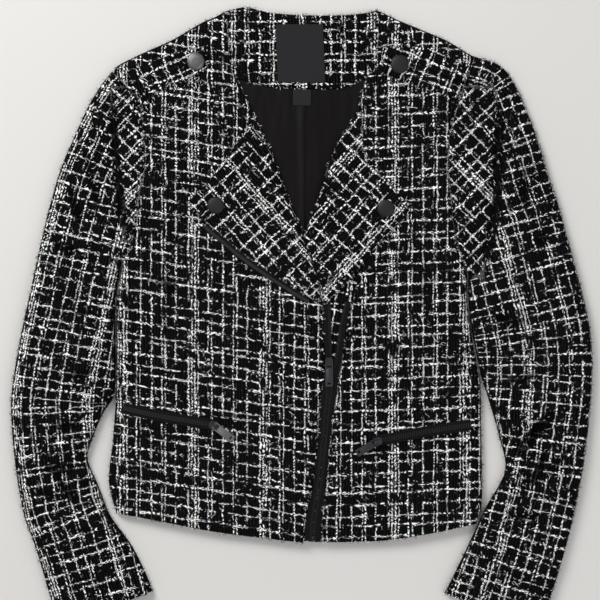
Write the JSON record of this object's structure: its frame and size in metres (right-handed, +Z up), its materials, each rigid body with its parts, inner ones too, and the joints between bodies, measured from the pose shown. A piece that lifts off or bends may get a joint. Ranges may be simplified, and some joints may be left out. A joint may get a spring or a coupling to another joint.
{
  "type": "cropped tweed jacket",
  "caption": "Cropped collarless biker jacket in chequered tweed, laid flat: slanted zip, turned-back lapels with snaps, epaulettes, zipped pockets",
  "frame": {"origin": "centre of the flat jacket on the surface that it lies on", "axes": "+X to the left arm of the wearer, +Y to the neck, +Z up from the surface"},
  "size_m": [0.6123, 0.6543, 0.019],
  "materials": {
    "tweed": "slubbed black and white open check",
    "lining": "black satin",
    "label": "woven, bare",
    "zip_tape": "ribbed tape",
    "gunmetal": "dark gunmetal",
    "snap_cap": "matte charcoal"
  },
  "bodies": {
    "jacket": {"back": "tweed", "back_lining": "lining", "back_neck_facing": "tweed", "epaulette_left": "tweed", "epaulette_right": "tweed", "front_left": "tweed", "front_right": "tweed", "lapel_left": "tweed", "lapel_right": "tweed", "lapel_zip_tape": "zip_tape", "main_label": "label", "main_zip_tape_left": "zip_tape", "main_zip_tape_right": "zip_tape", "pocket_zip_tape_left": "zip_tape", "pocket_zip_tape_right": "zip_tape", "size_label": "label", "slider_main": "gunmetal", "slider_pocket_left": "gunmetal", "slider_pocket_right": "gunmetal", "snap_epaulette_left": "snap_cap", "snap_epaulette_right": "snap_cap", "snap_lapel_left": "snap_cap", "snap_lapel_right": "snap_cap", "top_sleeve_left": "tweed", "top_sleeve_right": "tweed", "under_sleeve_left": "tweed", "under_sleeve_right": "tweed", "zip_underlap": "tweed"},
    "pull_pocket_right": {"pull_pocket_right": "gunmetal"},
    "pull_pocket_left": {"pull_pocket_left": "gunmetal"},
    "pull_main": {"pull_main": "gunmetal"}
  },
  "joints": [
    {"name": "pull_pocket_right_swing", "type": "hinge", "parent": "jacket", "child": "pull_pocket_right", "pos_m": [-0.09132, -0.11251, 0.0168], "axis": [-0.6157, -0.788, 0], "range_deg": [0, 125]},
    {"name": "pull_pocket_left_swing", "type": "hinge", "parent": "jacket", "child": "pull_pocket_left", "pos_m": [0.07882, -0.12941, 0.0168], "axis": [-0.5299, 0.848, 0], "range_deg": [0, 125]},
    {"name": "pull_main_swing", "type": "hinge", "parent": "jacket", "child": "pull_main", "pos_m": [0.02896, -0.0472, 0.0142], "axis": [-1, 0, 0], "range_deg": [0, 135]}
  ]
}
